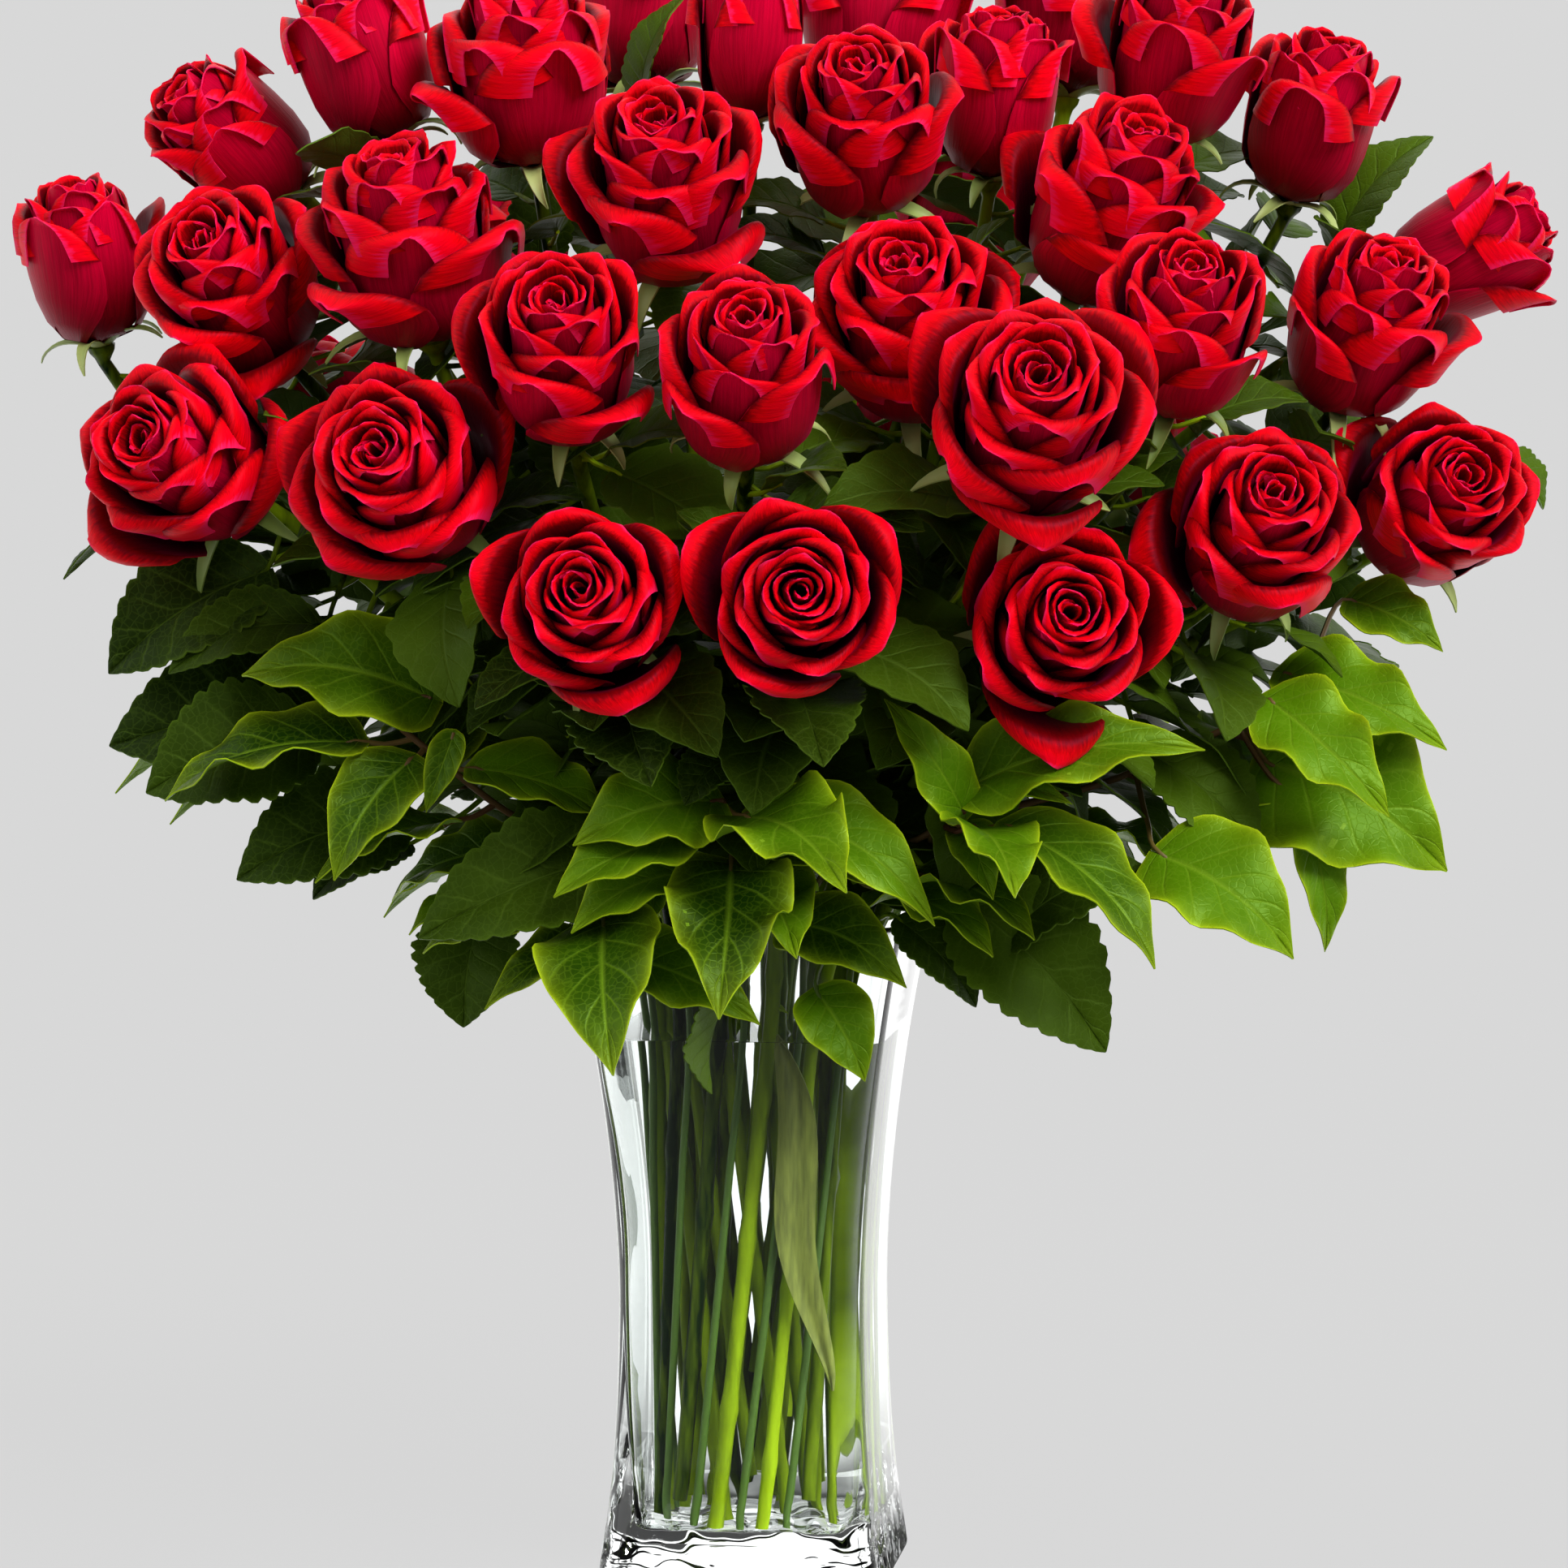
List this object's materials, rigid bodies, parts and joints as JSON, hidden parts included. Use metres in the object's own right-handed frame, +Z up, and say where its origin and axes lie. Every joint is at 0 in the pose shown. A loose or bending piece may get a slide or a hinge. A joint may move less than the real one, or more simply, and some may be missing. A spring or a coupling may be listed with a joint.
{
  "type": "roses in a vase",
  "caption": "Bunch of long-stemmed red roses with toothed and smooth-edged leaves, standing in water in a flared square vase of clear glass with a thick base.",
  "frame": {"origin": "middle of the vase's flat foot, on the surface that it stands on", "axes": "+Z up along the vase, +Y away from the side that the roses face, +X to the right seen from that side"},
  "size_m": [0.5288, 0.4041, 0.5777],
  "materials": {
    "glass": "polished",
    "water": "gloss",
    "petals": "matte",
    "rose_stems_and_leaves": "satin",
    "spray_twigs_and_leaves": "satin"
  },
  "bodies": {
    "root": {"vase": "glass", "water": "water", "bloom_01": "petals", "bloom_02": "petals", "bloom_03": "petals", "bloom_04": "petals", "bloom_05": "petals", "bloom_06": "petals", "bloom_07": "petals", "bloom_08": "petals", "bloom_09": "petals", "bloom_10": "petals", "bloom_11": "petals", "bloom_12": "petals", "bloom_13": "petals", "bloom_14": "petals", "bloom_15": "petals", "bloom_16": "petals", "bloom_17": "petals", "bloom_18": "petals", "bloom_19": "petals", "bloom_20": "petals", "bloom_21": "petals", "bloom_22": "petals", "bloom_23": "petals", "bloom_24": "petals", "bloom_25": "petals", "bloom_26": "petals", "bloom_27": "petals", "bloom_28": "petals", "bloom_29": "petals", "bloom_30": "petals", "bloom_31": "petals", "bloom_32": "petals", "bloom_33": "petals", "bloom_34": "petals", "bloom_35": "petals", "bloom_36": "petals", "stems_01": "rose_stems_and_leaves", "stems_02": "rose_stems_and_leaves", "stems_03": "rose_stems_and_leaves", "stems_04": "rose_stems_and_leaves", "stems_05": "rose_stems_and_leaves", "stems_06": "rose_stems_and_leaves", "stems_07": "rose_stems_and_leaves", "stems_08": "rose_stems_and_leaves", "stems_09": "rose_stems_and_leaves", "stems_10": "rose_stems_and_leaves", "stems_11": "rose_stems_and_leaves", "stems_12": "rose_stems_and_leaves", "spray_1": "spray_twigs_and_leaves", "spray_2": "spray_twigs_and_leaves", "spray_3": "spray_twigs_and_leaves", "spray_4": "spray_twigs_and_leaves", "spray_5": "spray_twigs_and_leaves", "spray_6": "spray_twigs_and_leaves", "spray_7": "spray_twigs_and_leaves", "spray_8": "spray_twigs_and_leaves"}
  },
  "joints": []
}
